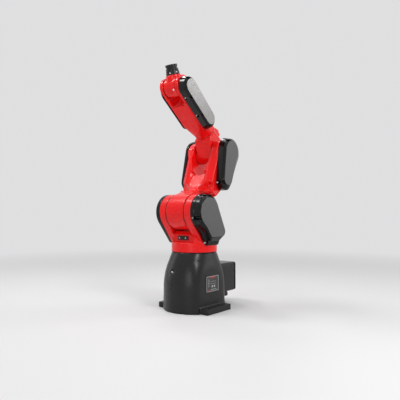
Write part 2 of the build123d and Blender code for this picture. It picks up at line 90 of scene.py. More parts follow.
# %% Camera
CAMERA_PLACE = (1.0576, -1.2922, 0.3611)
CAMERA_AZIMUTH = 39.3
CAMERA_PITCH = 1.7
FOCAL_LENGTH = 39.2
SENSOR_WIDTH = 36
SIDEWAYS_SHIFT = 0.01425

lens = bpy.data.cameras.new("camera")
lens.lens = FOCAL_LENGTH
lens.sensor_width = SENSOR_WIDTH
lens.shift_x = SIDEWAYS_SHIFT
camera = bpy.data.objects.new("camera", lens)
camera.location = CAMERA_PLACE
camera.rotation_euler = (radians(90 + CAMERA_PITCH), 0, radians(CAMERA_AZIMUTH))
bpy.context.scene.collection.objects.link(camera)
bpy.context.scene.camera = camera
bpy.context.scene.view_settings.view_transform = "Standard"
print("camera", CAMERA_PLACE, "focal length", FOCAL_LENGTH)

# %% [markdown]
# ## Writing shader maths as Python
# A material is a graph of nodes, and a long one is hard to read as code. Here one small class stands for an
# output socket. Its operators add the Math nodes, so `1 - wear * 0.3` is a sum and a graph at once. Colours
# never go through Math nodes, which would turn them grey, but through Mix and Vector Math.

# %% Sockets that can be added and multiplied
class Signal:
    """One output socket of a finish, used in sums like a number."""

    def __init__(self, finish, output):
        self.finish = finish
        self.output = output

    def maths(self, operation, *terms):
        return self.finish.node("ShaderNodeMath", {"operation": operation}, dict(enumerate(terms)))

    def __add__(self, other):
        return self.maths("ADD", self, other)

    def __radd__(self, other):
        return self.maths("ADD", other, self)

    def __sub__(self, other):
        return self.maths("SUBTRACT", self, other)

    def __rsub__(self, other):
        return self.maths("SUBTRACT", other, self)

    def __mul__(self, other):
        return self.maths("MULTIPLY", self, other)

    def __rmul__(self, other):
        return self.maths("MULTIPLY", other, self)

    def above(self, edge, softness):
        """0 below the edge and 1 above it, with a soft step between."""
        settings = {"interpolation_type": "SMOOTHSTEP"}
        ends = {0: self, 1: edge - softness, 2: edge + softness}
        return self.finish.node("ShaderNodeMapRange", settings, ends)


class Finish:
    """A material being written: one method adds every kind of node, and others name common ones."""

    def __init__(self, name):
        self.material = bpy.data.materials.new(name)
        self.material.use_nodes = True
        self.tree = self.material.node_tree
        self.surface = self.tree.nodes["Principled BSDF"]

    def node(self, kind, settings=None, values=None, output=0):
        """Adds a node: its settings first, then the values or links of its sockets."""
        made = self.tree.nodes.new(kind)
        for name, value in (settings or {}).items():
            setattr(made, name, value)
        for name, value in (values or {}).items():
            self.feed(made.inputs[name], value)
        return Signal(self, made.outputs[output])

    def feed(self, socket, value):
        if isinstance(value, Signal):
            self.tree.links.new(value.output, socket)
        else:
            socket.default_value = value

    def shade(self, **values):
        """Values or links for the surface shader, named as its sockets, in small letters with _."""
        sockets = {socket.name.lower().replace(" ", "_"): socket for socket in self.surface.inputs}
        for name, value in values.items():
            self.feed(sockets[name], value)

    def place(self):
        return self.node("ShaderNodeTexCoord", output="Object")

    def noise(self, scale, detail=2.0, roughness=0.5, place=None):
        values = {"Vector": place or self.place(), "Scale": scale, "Detail": detail, "Roughness": roughness}
        return self.node("ShaderNodeTexNoise", {}, values, "Fac")

    def mix(self, share, first, second):
        """A colour between two others."""
        values = {"Factor": share, 6: first, 7: second}
        return self.node("ShaderNodeMix", {"data_type": "RGBA"}, values, 2)

    def bump(self, height, distance):
        """A surface direction disturbed by a height, which is a distance in metres at 1."""
        values = {"Height": height, "Distance": distance, "Strength": 1.0}
        return self.node("ShaderNodeBump", {}, values)

    def edges(self, reach):
        """1 on outer edges and corners, 0 on open surfaces."""
        settings = {"inside": True, "only_local": True, "samples": 8}
        shut = self.node("ShaderNodeAmbientOcclusion", settings, {"Distance": reach}, "AO")
        return 1 - shut

    def corners(self, reach):
        """1 deep in inner corners, 0 on open surfaces."""
        settings = {"samples": 8}
        shut = self.node("ShaderNodeAmbientOcclusion", settings, {"Distance": reach}, "AO")
        return 1 - shut


print("shader maths ready")

# %% [markdown]
# ## Floor and background
# The robot stands on a plain pale floor under soft light, as in a photographer's cove. A bent backdrop
# would get in the way of a camera behind the robot, so the floor's own colour fades into that of the
# background with its distance from the robot, and no horizon shows from any side.

# %% Floor and background
BACKGROUND = (0.74, 0.74, 0.748, 1)
FLOOR_COLOUR = (0.78, 0.78, 0.78, 1)
FLOOR_REACH = 14.0
FLOOR_GAP = 0.0005
FADE_MIDDLE = 1.9
FADE_HALF = 1.1
FILL_STRENGTH = 0.43


def make_floor():
    rim = bmesh.new()
    bmesh.ops.create_circle(rim, cap_ends=True, segments=96, radius=FLOOR_REACH)
    mesh = bpy.data.meshes.new("floor")
    rim.to_mesh(mesh)
    rim.free()
    floor = bpy.data.objects.new("floor", mesh)
    bpy.context.scene.collection.objects.link(floor)
    floor.location.z = -FLOOR_GAP
    finish = Finish("studio_floor")
    finish.shade(base_color=FLOOR_COLOUR, roughness=0.75, specular_ior_level=0.10)
    distance = finish.node("ShaderNodeVectorMath", {"operation": "LENGTH"}, {0: finish.place()}, "Value")
    far = distance.above(FADE_MIDDLE, FADE_HALF)
    glow = finish.node("ShaderNodeEmission", {}, {"Color": BACKGROUND, "Strength": 1.0})
    near = Signal(finish, finish.surface.outputs[0])
    blend = finish.node("ShaderNodeMixShader", {}, {0: far, 1: near, 2: glow})
    finish.tree.links.new(blend.output, finish.tree.nodes["Material Output"].inputs["Surface"])
    mesh.materials.append(finish.material)


def make_world(fill_strength):
    """Background seen plainly by the camera and in reflections, and as a dimmer fill light otherwise."""
    world = bpy.data.worlds.new("studio")
    world.use_nodes = True
    bpy.context.scene.world = world
    nodes = world.node_tree.nodes
    links = world.node_tree.links
    path = nodes.new("ShaderNodeLightPath")
    seen = nodes.new("ShaderNodeMath")
    seen.operation = "MAXIMUM"
    links.new(path.outputs["Is Camera Ray"], seen.inputs[0])
    links.new(path.outputs["Is Transmission Ray"], seen.inputs[1])
    shown = nodes.new("ShaderNodeMath")
    shown.operation = "MAXIMUM"
    links.new(seen.outputs[0], shown.inputs[0])
    links.new(path.outputs["Is Glossy Ray"], shown.inputs[1])
    strength = nodes.new("ShaderNodeMapRange")
    strength.inputs["To Min"].default_value = fill_strength
    strength.inputs["To Max"].default_value = 1.0
    links.new(shown.outputs[0], strength.inputs["Value"])
    nodes["Background"].inputs["Color"].default_value = BACKGROUND
    links.new(strength.outputs[0], nodes["Background"].inputs["Strength"])


make_floor()
make_world(FILL_STRENGTH)
print("floor reaches", FLOOR_REACH, "m")

# %% [markdown]
# ## The lights
# The photograph's robot is lit like a product: a soft ceiling for the overall level, and a few smaller,
# brighter soft boxes whose reflections draw the streaks on the enamel and the black covers. A lamp is
# placed by where a viewer would point: so far to the right, towards the camera, and up from the robot. The
# low boxes are large and stand past the end of the lit floor, since a low lamp close by would burn out the
# floor in front of it. No box shows to the camera itself, only in reflections.

# %% Lamps
TO_CAMERA = Vector((CAMERA_PLACE[0], CAMERA_PLACE[1], 0)).normalized()
TO_RIGHT = Vector((-TO_CAMERA.y, TO_CAMERA.x, 0))
ROBOT_MIDDLE = Vector((0, -0.05, 0.5))


def soft_box(name, right, near, up, size, power):
    """A rectangular area lamp that faces the middle of the robot."""
    light = bpy.data.lights.new(name, "AREA")
    light.shape = "RECTANGLE"
    light.size = size[0]
    light.size_y = size[1]
    light.energy = power
    thing = bpy.data.objects.new(name, light)
    thing.visible_camera = False
    thing.location = ROBOT_MIDDLE + TO_RIGHT * right + TO_CAMERA * near + Vector((0, 0, up))
    thing.rotation_euler = (ROBOT_MIDDLE - thing.location).to_track_quat("-Z", "Y").to_euler()
    bpy.context.scene.collection.objects.link(thing)


SOFT_BOXES = [
    ("ceiling_light", 0.0, 0.2, 2.5, (3.0, 3.0), 15),
    ("left_top_box", -1.25, -0.2, 1.75, (0.6, 0.6), 18),
    ("left_front_box", -0.85, 0.65, 1.75, (0.3, 0.3), 4),
    ("front_top_box", 1.02, 1.35, 0.85, (0.55, 0.55), 14),
    ("front_low_box", -1.5, 4.6, 0.35, (1.8, 1.6), 28),
    ("left_strip", -4.2, -1.5, 0.9, (0.9, 2.6), 13),
    ("top_rear_box", -0.3, -1.3, 1.8, (0.5, 0.4), 8),
    ("right_rear_box", 1.9, -0.35, 1.0, (0.4, 0.4), 6),
    ("right_low_box", 4.4, -0.45, 0.35, (1.8, 1.5), 11),
]
for box in SOFT_BOXES:
    soft_box(*box)
print("soft boxes round", tuple(ROBOT_MIDDLE))

# %% [markdown]
# ## Enamel on the castings
# The turret, arm, forearm and wrist are aluminium castings, sprayed with a thick semi-gloss enamel. Up close
# such paint has orange peel: waves about two millimetres across and a few hundredths deep. The sand of
# the mould shows through as softer, wider waves. Bump does this better than real displacement, as it is too
# shallow to change any outline. The colour also carries painted light: edges get a painted highlight, a
# lighter pink, and inner corners a painted shade, a deeper red.

# %% Red enamel
RED_LIGHT, RED_DEEP = (0.84, 0.0060, 0.0065, 1), (0.77, 0.0045, 0.0050, 1)
# Painted light: a lighter pink as a highlight on edges, and a deeper red as shade in inner corners.
RED_EDGE_HIGHLIGHT, RED_CORNER_SHADE = (0.88, 0.028, 0.026, 1), (0.42, 0.003, 0.004, 1)
PEEL_SCALE, SAND_SCALE, CLOUD_SCALE, DUST_SCALE = 520, 90, 9, 260
PAINT_RELIEF = 0.00006


def red_enamel():
    finish = Finish("red_enamel")
    place = finish.place()
    peel = finish.noise(PEEL_SCALE, 2.0, place=place)
    sand = finish.noise(SAND_SCALE, 3.0, place=place)
    cloud = finish.noise(CLOUD_SCALE, 3.0, 0.6, place)
    edge = finish.edges(0.0035).above(0.52, 0.12)
    corner = finish.corners(0.012).above(0.55, 0.35)
    paint = finish.mix(cloud, RED_LIGHT, RED_DEEP)
    # Painted highlight on the edges, then painted shade in the inner corners.
    paint = finish.mix(edge * 0.35, paint, RED_EDGE_HIGHLIGHT)
    paint = finish.mix(corner * 0.55, paint, RED_CORNER_SHADE)
    dust = finish.noise(DUST_SCALE, 5.0, 0.7, place).above(0.64, 0.10)
    height = peel * 0.6 + sand * 1.4
    finish.shade(base_color=paint, roughness=0.25 + cloud * 0.04 + dust * 0.10, specular_ior_level=0.24)
    finish.shade(coat_weight=0.10, coat_roughness=0.14, normal=finish.bump(height, PAINT_RELIEF))
    return finish.material


# %% [markdown]
# ## Dark enamel on the base
# The base wears the same sort of paint in a near-black grey with a coarser, drier texture, sprayed to hide
# marks near the floor. Its texture is a fine pebble, so a cell pattern suits it better than soft noise.
# The foot's edges are rubbed by tools and bolts, so they show paler scuffs.

# %% Dark enamel
DARK_DEEP, DARK_PALE = (0.0105, 0.0102, 0.0100, 1), (0.0140, 0.0137, 0.0134, 1)
DARK_RUBBED = (0.16, 0.155, 0.15, 1)
PEBBLE_SCALE = 700
PEBBLE_RELIEF = 0.00012


def pebbled(finish, place, scale):
    """Height of a pebbled paint: round grains with soft valleys."""
    values = {"Vector": place, "Scale": scale, "Smoothness": 0.6}
    return finish.node("ShaderNodeTexVoronoi", {"feature": "SMOOTH_F1"}, values, "Distance")


def dark_enamel():
    finish = Finish("dark_enamel")
    place = finish.place()
    grains = pebbled(finish, place, PEBBLE_SCALE)
    cloud = finish.noise(11, 4.0, 0.6, place)
    edge = finish.edges(0.003).above(0.55, 0.12)
    scuff = finish.noise(60, 5.0, 0.7, place).above(0.56, 0.08)
    paint = finish.mix(cloud, DARK_DEEP, DARK_PALE)
    paint = finish.mix(edge * scuff * 0.5, paint, DARK_RUBBED)
    finish.shade(base_color=paint, roughness=0.25 + cloud * 0.05, specular_ior_level=0.27)
    finish.shade(normal=finish.bump(grains * 0.8 + cloud * 0.6, PEBBLE_RELIEF))
    return finish.material


# %% [markdown]
# ## Moulded covers and their face plates
# The deep covers over the gear trains are moulded in black plastic, glossy on their bevels. Their large
# flat faces are sunk plates with a fine spark-eroded grain, which spreads the light and so looks greyer.
# The forearm's plate is paler than the others. Sharing one function keeps the family likeness.

# %% Cover plastic
PLASTIC_DEEP, PLASTIC_PLAIN = (0.0045, 0.0048, 0.0050, 1), (0.0065, 0.0068, 0.0070, 1)
# A lighter grey for the edges of the covers: a painted highlight.
PLASTIC_EDGE_HIGHLIGHT = (0.065, 0.065, 0.067, 1)
SPARK_GRAIN_SCALE = 1100
SPARK_RELIEF = 0.00009


def cover_plastic():
    finish = Finish("dark_cover")
    place = finish.place()
    flow = finish.noise(14, 2.0, place=place)
    fine = finish.noise(900, 2.0, place=place)
    edge = finish.edges(0.0025).above(0.55, 0.1)
    body = finish.mix(flow, PLASTIC_DEEP, PLASTIC_PLAIN)
    # Painted highlight: every edge of the covers is made lighter.
    body = finish.mix(edge * 0.5, body, PLASTIC_EDGE_HIGHLIGHT)
    smear = finish.noise(35, 4.0, 0.65, place).above(0.55, 0.15)
    finish.shade(base_color=body, roughness=0.13 + smear * 0.05 + edge * 0.05)
    finish.shade(specular_ior_level=0.16, coat_weight=0.12, coat_roughness=0.05)
    finish.shade(normal=finish.bump(fine, 0.00001))
    return finish.material


def face_plate(name, dark, light, roughness):
    finish = Finish(name)
    place = finish.place()
    grain = pebbled(finish, place, SPARK_GRAIN_SCALE)
    cloud = finish.noise(10, 3.0, 0.6, place)
    rubbed = finish.noise(40, 5.0, 0.7, place).above(0.58, 0.12)
    finish.shade(base_color=finish.mix(cloud, dark, light), roughness=roughness + rubbed * 0.08)
    finish.shade(specular_ior_level=0.45, normal=finish.bump(grain, SPARK_RELIEF))
    return finish.material


# %% [markdown]
# ## Metals and small plastics
# Screws are zinc plated or black, the flange is blackened steel turned on a lathe, and the sockets at the
# back mix bright metal, brass and black plastic. The tool marks on parts this small are finer than any view
# shows, so a fine even noise stands for them in the steel's colour, its gloss and its shallow bump.

# %% Metals, plastics and rubber
OXIDE_DEEP, OXIDE_PALE = (0.012, 0.012, 0.013, 1), (0.024, 0.024, 0.026, 1)
BARE_STEEL = (0.34, 0.34, 0.35, 1)
TOOL_MARK_SCALE = 420
WEAR_LIFT = 1.25


def metal(name, colour, roughness, scale, depth):
    finish = Finish(name)
    place = finish.place()
    fine = finish.noise(scale, 3.0, 0.6, place)
    stain = finish.noise(45, 4.0, 0.6, place)
    worn = tuple(min(1.0, c * WEAR_LIFT) for c in colour[:3]) + (1,)
    finish.shade(base_color=finish.mix(stain, colour, worn), metallic=1.0)
    finish.shade(roughness=roughness + fine * 0.14, normal=finish.bump(fine, depth))
    return finish.material


def black_steel():
    """Blackened steel: dark, half metallic, and bright where edges are rubbed bare."""
    finish = Finish("black_steel")
    place = finish.place()
    marks = finish.noise(TOOL_MARK_SCALE, 2.0, place=place)
    cloud = finish.noise(60, 3.0, place=place)
    edge = finish.edges(0.0012).above(0.52, 0.1)
    colour = finish.mix(cloud, OXIDE_DEEP, OXIDE_PALE)
    colour = finish.mix(edge * 0.6, colour, BARE_STEEL)
    finish.shade(base_color=colour, metallic=0.25 + edge * 0.5, roughness=0.26 + marks * 0.12)
    finish.shade(specular_ior_level=0.22, normal=finish.bump(marks, 0.00002))
    return finish.material


def dull(name, dark, light, roughness):
    """Plain moulded plastic or rubber."""
    finish = Finish(name)
    place = finish.place()
    cloud = finish.noise(55, 3.0, 0.6, place)
    fine = finish.noise(800, 2.0, place=place)
    finish.shade(base_color=finish.mix(cloud, dark, light), roughness=roughness + cloud * 0.08)
    finish.shade(specular_ior_level=0.22, normal=finish.bump(fine, 0.00003))
    return finish.material


finishes = {
    "red_enamel": red_enamel(),
    "dark_enamel": dark_enamel(),
    "dark_cover": cover_plastic(),
    "grey_panel": face_plate("grey_panel", (0.066, 0.067, 0.068, 1), (0.082, 0.082, 0.084, 1), 0.42),
    "pale_panel": face_plate("pale_panel", (0.238, 0.232, 0.226, 1), (0.252, 0.246, 0.240, 1), 0.27),
    "black_steel": black_steel(),
    "bright_steel": metal("bright_steel", (0.60, 0.60, 0.61, 1), 0.22, 600, 0.00001),
    "brass": metal("brass", (0.62, 0.52, 0.32, 1), 0.25, 500, 0.00001),
    "black_plastic": dull("black_plastic", (0.012, 0.012, 0.012, 1), (0.022, 0.022, 0.022, 1), 0.38),
    "seal": dull("seal", (0.010, 0.010, 0.010, 1), (0.018, 0.018, 0.018, 1), 0.62),
    "plate": face_plate("plate", (0.026, 0.027, 0.028, 1), (0.038, 0.039, 0.040, 1), 0.35),
    "pale_ink": dull("pale_ink", (0.36, 0.36, 0.36, 1), (0.44, 0.44, 0.44, 1), 0.45),
    "red_ink": dull("red_ink", (0.50, 0.03, 0.03, 1), (0.60, 0.04, 0.04, 1), 0.45),
}
print("finishes:", ", ".join(finishes))

# %% [markdown]
# ## Castings with soft edges
# A sand or pressure casting has no sharp edge anywhere: the mould's radii are millimetres wide, and light
# rolls over them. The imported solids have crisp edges, so each casting gets a skin of its own: the solid
# is turned into small even cells, and a few rounds of smoothing draw every edge into a radius, inner
# corners too. A bevel modifier would need clean edge loops, which a triangulated solid doesn't have.

# %% Soft skins
def plain_object(name, mesh):
    thing = bpy.data.objects.new(name, mesh)
    bpy.context.scene.collection.objects.link(thing)
    return thing


slots = {part["node"]: part["material_slot"] for part in frame["record"]["subparts"]}


def dress(thing, body, slot):
    """Gives a new piece the finish of that name, and its body."""
    thing.data.materials.clear()
    thing.data.materials.append(finishes[slot])
    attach(thing, body)
    return thing


def with_modifier(mesh, kind, **settings):
    """The mesh after one modifier."""
    thing = plain_object("work_piece", mesh)
    modifier = thing.modifiers.new("change", kind)
    for name, value in settings.items():
        setattr(modifier, name, value)
    shaped = thing.evaluated_get(bpy.context.evaluated_depsgraph_get())
    changed = bpy.data.meshes.new_from_object(shaped)
    bpy.data.objects.remove(thing)
    return changed


def soft_skin(node, name, body, slot, cell, rounds, carve=None):
    """A smooth-edged copy of a solid, made of even cells, which is shown in its place."""
    mesh = frame["nodes"][node].data.copy()
    mesh = with_modifier(mesh, "REMESH", mode="VOXEL", voxel_size=cell * MM)
    if carve is not None:
        carve(mesh)
    mesh = with_modifier(mesh, "SMOOTH", factor=0.5, iterations=rounds)
    mesh.name = name
    mesh.polygons.foreach_set("use_smooth", [True] * len(mesh.polygons))
    thing = dress(plain_object(name, mesh), body, slot)
    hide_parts(node)
    print(name, "faces", len(mesh.polygons))


# %% [markdown]
# ## The hollow in front of the elbow fork
# Below the elbow fork the casting is hollowed like the bowl of a spoon: a smooth ramp runs from the slot
# down to the front of the arm, and a raised band goes round it. Outside the band the metal falls away
# again to the narrower shank, and the fork's cheeks roll over to their sides. On a mesh of even cells such
# a shape is a matter of moving each point of the front to where the new surface is.

# %% Carve the lower arm
FRONT_AT_FOOT, FRONT_LEAN, LEAN_START = -12.5, 0.29, 116
SCOOP_FOOT, SCOOP_HALF_WIDTH = 110, 42
SLOT_FOOT, SLOT_FLARE = 165, 0.19
RAMP_WALL, FLARE_WALL, RAMP_LEAN = 1.3, 0.4, 0.055
FORK_TOP, FORK_FADE = 262, 34
CHEEK_START, CHEEK_WIDTH, CHEEK_SETBACK = 44, 31, 15
CHEEK_INSIDE, CHEEK_OUTSIDE, CHEEK_FOOT, CHEEK_DEPTH = 47.5, 73.5, 128, 22
BAND_FOOT_X, BAND_FOOT_ALONG, BAND_SLOPE, SQUARE_TO_BAND = 14, 99.5, 1.27, 0.62
FLANK_FOOT, FLANK_EASE, FLANK_INSIDE = 86, 14, 18
FLANK_WALL, FLANK_DEPTH = 1.4, 22


def arm_front(along):
    """How far across the front of the arm lies, at a place along it."""
    return FRONT_AT_FOOT - FRONT_LEAN * max(0, along - LEAN_START)


def scoop_half_width(along):
    """Half the width of the hollow: a rounded foot, then a slow flare up the fork."""
    if along >= SLOT_FOOT:
        return SCOOP_HALF_WIDTH + SLOT_FLARE * (along - SLOT_FOOT)
    down = (SLOT_FOOT - along) / (SLOT_FOOT - SCOOP_FOOT)
    return SCOOP_HALF_WIDTH * max(0, 1 - down * down) ** 0.5


def hollow_surface(along, x):
    """Across place of the hollow's surface, or None outside the hollow."""
    inside = scoop_half_width(along) - abs(x)
    if not SCOOP_FOOT < along < FORK_TOP or inside <= 0:
        return None
    wall = RAMP_WALL if along < SLOT_FOOT + 8 else FLARE_WALL
    ramp = FRONT_AT_FOOT + RAMP_LEAN * (along - SCOOP_FOOT)
    return min(arm_front(along) + wall * inside, ramp)


def cheek_surface(along, x):
    """Across place of the rounded cheek and of the flank under the raised band, or None."""
    if not FLANK_FOOT < along < FORK_TOP or abs(x) < FLANK_INSIDE:
        return None
    roll = CHEEK_SETBACK * (max(0, abs(x) - CHEEK_START) / CHEEK_WIDTH) ** 2
    band_edge = BAND_FOOT_X + BAND_SLOPE * (along - BAND_FOOT_ALONG)
    under_band = max(0, (abs(x) - band_edge) * SQUARE_TO_BAND)
    flank = min(FLANK_WALL * under_band, FLANK_DEPTH) * min(1, (along - FLANK_FOOT) / FLANK_EASE)
    if max(roll, flank) == 0:
        return None
    return arm_front(along) + max(roll, flank)


def carve_lower_arm(mesh):
    for point in mesh.vertices:
        away = (point.co - ARM.start) / MM
        across, along, x = away.dot(ARM.across), away.dot(ARM.along), away.x
        hollow = hollow_surface(along, x)
        if hollow is not None:
            if across < hollow:
                point.co += ARM.across * (hollow - across) * MM
            continue
        cheek = cheek_surface(along, x)
        on_cheek = CHEEK_INSIDE < abs(x) < CHEEK_OUTSIDE and along > CHEEK_FOOT
        on_cheek = on_cheek and across < arm_front(along) + CHEEK_DEPTH
        if cheek is not None and (across < cheek or on_cheek):
            fade = min(1, max(0, (FORK_TOP - along) / FORK_FADE))
            point.co += ARM.across * (cheek - across) * fade * MM
    print("carved the lower arm:", len(mesh.vertices), "points")


# %% [markdown]
# ## The corners of the base and its box, and the tail of the forearm's lid
# The bell of the base meets its flat sides in a corner that is tight at the foot and fades out under the
# neck. A "soft least" of the two distances from the middle does just that: with a high power it is the
# smaller one with a crisp corner, and with a low power it blends the two. The thin lid on the forearm's
# left ends short of the roll joint, so its lower end is drawn up. The connector box is rounded as well:
# where its faces meet, a point further out than the rounding radius is drawn in.

# %% Carve the base, its box and the lid
BELL_RADIUS = 118
BELL_START = 85
BELL_CURVE = 280
BASE_FLAT = 86
CRISP_POWER = 30
SOFT_POWER = 6
SOFT_HEIGHT = 160
FOOT_HEIGHT = 24
CORE_RADIUS = 50
BOX_REAR = 183
BOX_TOP = 164
BOX_HALF_WIDTH = 62
BOX_CORNER = 9
LID_HOLD = 190
LID_SHORTENING = 0.80


def soft_least(first, second, power):
    return (first ** -power + second ** -power) ** (-1 / power)


def round_base(mesh):
    for point in mesh.vertices:
        x, y, z = point.co / MM
        reach = (x * x + y * y) ** 0.5
        if z < FOOT_HEIGHT or reach < CORE_RADIUS:
            continue
        rise = max(0, z - BELL_START)
        bell = BELL_RADIUS - BELL_CURVE + (BELL_CURVE ** 2 - rise ** 2) ** 0.5
        flat = BASE_FLAT * reach / max(1, abs(x))
        power = CRISP_POWER - (CRISP_POWER - SOFT_POWER) * min(1, (z - FOOT_HEIGHT) / SOFT_HEIGHT)
        share = soft_least(bell, flat, power) / min(bell, flat)
        point.co.x *= share
        point.co.y *= share
    print("rounded the base:", len(mesh.vertices), "points")


def round_box(mesh):
    """Rounds the connector box where its top, rear and sides meet."""
    for point in mesh.vertices:
        x, y, z = point.co / MM
        past_rear = y - (BOX_REAR - BOX_CORNER)
        past_top = z - (BOX_TOP - BOX_CORNER)
        past_side = abs(x) - (BOX_HALF_WIDTH - BOX_CORNER)
        pasts = [past for past in (past_rear, past_top, past_side) if past > 0]
        out = sum(past * past for past in pasts) ** 0.5
        if out <= BOX_CORNER:
            continue
        give = (1 - BOX_CORNER / out) * MM
        point.co.y -= give * max(0, past_rear)
        point.co.z -= give * max(0, past_top)
        point.co.x -= give * max(0, past_side) * (1 if x > 0 else -1)


def shorten_lid(mesh):
    for point in mesh.vertices:
        along = (point.co - FOREARM.start).dot(FOREARM.along) / MM
        if along < LID_HOLD:
            point.co += FOREARM.along * (LID_HOLD - along) * (1 - LID_SHORTENING) * MM


# %% [markdown]
# ## Which castings and covers get a skin
# The castings and the deep covers are moulded, so they all get one. Cells of 1.2 to 2.2 mm are fine enough
# for their radii and keep the whole robot under a million triangles.

# %% Make the skins
SKINS = [
    ("base_casting", "base_skin", "base", "dark_enamel", 2.0, 4, round_base),
    ("connector_box", "connector_box_skin", "base", "dark_enamel", 2.2, 3, round_box),
    ("turret_casting", "turret_skin", "turret", "red_enamel", 1.9, 6),
    ("lower_arm_casting", "lower_arm_skin", "lower_arm", "red_enamel", 1.7, 4, carve_lower_arm),
    ("elbow_housing", "elbow_skin", "elbow", "red_enamel", 1.6, 6),
    ("forearm_casting", "forearm_skin", "forearm", "red_enamel", 1.7, 6),
    ("wrist_casting", "wrist_skin", "wrist", "red_enamel", 1.2, 6),
    ("shoulder_cover_right", "shoulder_cover_skin", "turret", "dark_cover", 1.6, 3),
    ("shoulder_cover_left", "shoulder_cover_left_skin", "turret", "dark_cover", 1.8, 3),
    ("elbow_cover_right", "elbow_cover_skin", "lower_arm", "dark_cover", 1.5, 3),
    ("elbow_cover_left", "elbow_cover_left_skin", "lower_arm", "dark_cover", 1.8, 3),
    ("forearm_cover_right", "forearm_cover_skin", "forearm", "dark_cover", 1.5, 3),
    ("forearm_cover_left", "forearm_cover_left_skin", "forearm", "dark_cover", 1.5, 3, shorten_lid),
]
for skin in SKINS:
    soft_skin(*skin)

# %% [markdown]
# ## Finishes for the parts that keep their solids
# Machined and thin parts really are crisp, so their solids stay. Each takes the finish that the record
# gives its material slot.

# %% Repaint the solids
for name, thing in frame["nodes"].items():
    thing.data.materials.clear()
    thing.data.materials.append(finishes[slots[name]])
print("repainted", len(slots), "solids")

# %% [markdown]
# ## Bodies from loops of points
# Screws, seals, plugs and sockets are turned or extruded parts, so one way of building serves them all: a
# part is a row of closed loops of points, with a band of faces between each loop and the next and a lid on
# either end. Primitives from the menu would need bevels and cuts to get the same rims.

# %% Loops of points, and bodies made of them
def walls(shape, low, high):
    """A band of faces between two loops with equal numbers of points."""
    for step in range(len(low)):
        after = (step + 1) % len(low)
        shape.faces.new((low[step], low[after], high[after], high[step]))


def closed_body(shape, loops):
    """Bands between neighbouring loops, and a lid on the first and on the last."""
    for low, high in zip(loops, loops[1:]):
        walls(shape, low, high)
    shape.faces.new(reversed(loops[0]))
    shape.faces.new(loops[-1])


def turned_loops(shape, profile, steps, centre, axis):
    """A loop round an axis through a place for each (radius, height) in mm of a profile."""
    turn = Vector((0, 0, 1)).rotation_difference(Vector(axis)).to_matrix()
    loops = []
    for radius, height in profile:
        angles = [tau * step / steps for step in range(steps)]
        spots = [Vector((radius * cos(angle), radius * sin(angle), height)) * MM for angle in angles]
        loops.append([shape.verts.new(Vector(centre) + turn @ spot) for spot in spots])
    return loops


def spun(shape, profile, steps, centre, axis):
    closed_body(shape, turned_loops(shape, profile, steps, centre, axis))


def joined(name, body, slot, build):
    """One piece from a function that adds its shapes to a new mesh."""
    shape = bmesh.new()
    build(shape)
    bmesh.ops.recalc_face_normals(shape, faces=shape.faces)
    mesh = bpy.data.meshes.new(name)
    shape.to_mesh(mesh)
    shape.free()
    print(name, "faces", len(mesh.polygons))
    return dress(plain_object(name, mesh), body, slot)


# %% [markdown]
# ## Screws
# The covers are held by socket-head screws, each on a thin washer. Each is a profile spun round the
# screw's axis: up the rounded rim, across the face and down into the socket. The socket is round here, as
# its six flats are too small for any view to show. All the screws of one body and one size are one piece.

# %% Socket-head screws
SCREW_STEPS = 24
WASHER_RATIO = 1.45


def screw_head(shape, centre, axis, radius, height):
    """A socket head on its washer: the last loops go down into the socket."""
    washer = radius * WASHER_RATIO
    disc = [(washer, 0), (washer, 0.7), (washer - 0.3, 0.9), (radius, 0.9)]
    spun(shape, disc, SCREW_STEPS, centre, axis)
    rim = [(radius, 0.5), (radius, height - 0.6), (radius - 0.6, height), (radius * 0.56, height)]
    socket = [(radius * 0.5, height - 0.4), (radius * 0.5, height * 0.45), (radius * 0.2, height * 0.35)]
    spun(shape, rim + socket, SCREW_STEPS, centre, axis)


def screws(name, body, spots, axis, radius, height, slot="bright_steel"):
    """One piece that holds all the like screws of a body."""
    def build(shape):
        for spot in spots:
            screw_head(shape, spot, axis, radius, height)
    joined(name, body, slot, build)


SIDE = Vector((1, 0, 0))
COVER_LEDGE = 79
FOREARM_LEDGE = 46
SHOULDER_SCREWS = [(-21, 57), (23, 55), (-56, -21), (13, -112)]
ELBOW_SCREWS = [(-43, 295), (-15, 226), (15, 144)]
FOREARM_SCREWS = [(52, 328), (15, 275), (14, 193), (26, 124)]
shoulder_spots = [TURRET.at(a, r, COVER_LEDGE) for a, r in SHOULDER_SCREWS]
elbow_spots = [ARM.at(a, r, COVER_LEDGE) for a, r in ELBOW_SCREWS]
forearm_spots = [FOREARM.at(a, r, FOREARM_LEDGE) for a, r in FOREARM_SCREWS]
screws("shoulder_cover_screws", "turret", shoulder_spots, SIDE, 3.6, 4)
screws("elbow_cover_screws", "lower_arm", elbow_spots, SIDE, 3.6, 4)
screws("forearm_cover_screws", "forearm", forearm_spots, SIDE, 3.4, 4)

# %% [markdown]
# ## Screws of the left covers and the small plates
# The left covers are flat lids, so their screws stand on the outside in a ring near the edge. The rear
# plate, the motor's cap and the connector panel are held the same way, with smaller screws.

# %% More screws
LEFT_SHOULDER = [(-40, 40), (40, 40), (-41, -37), (18, -108), (70, -88)]
LEFT_ELBOW = [(-33, 312), (31, 312), (-24, 224), (48, 222), (8, 142), (48, 140)]
LEFT_FOREARM = [(48, 321), (19, 282), (77, 282), (18, 168), (76, 168), (47, 132)]
SHOULDER_LID, ELBOW_LID, FOREARM_LID = -95, -91, -49
lid_spots = [TURRET.at(a, r, SHOULDER_LID) for a, r in LEFT_SHOULDER]
elbow_lid_spots = [ARM.at(a, r, ELBOW_LID) for a, r in LEFT_ELBOW]
forearm_lid_spots = [FOREARM.at(a, r, FOREARM_LID) for a, r in LEFT_FOREARM]
screws("shoulder_lid_screws", "turret", lid_spots, -SIDE, 3.4, 3.2)
screws("elbow_lid_screws", "lower_arm", elbow_lid_spots, -SIDE, 3.4, 3.2)
screws("forearm_lid_screws", "forearm", forearm_lid_spots, -SIDE, 2.6, 2.4)

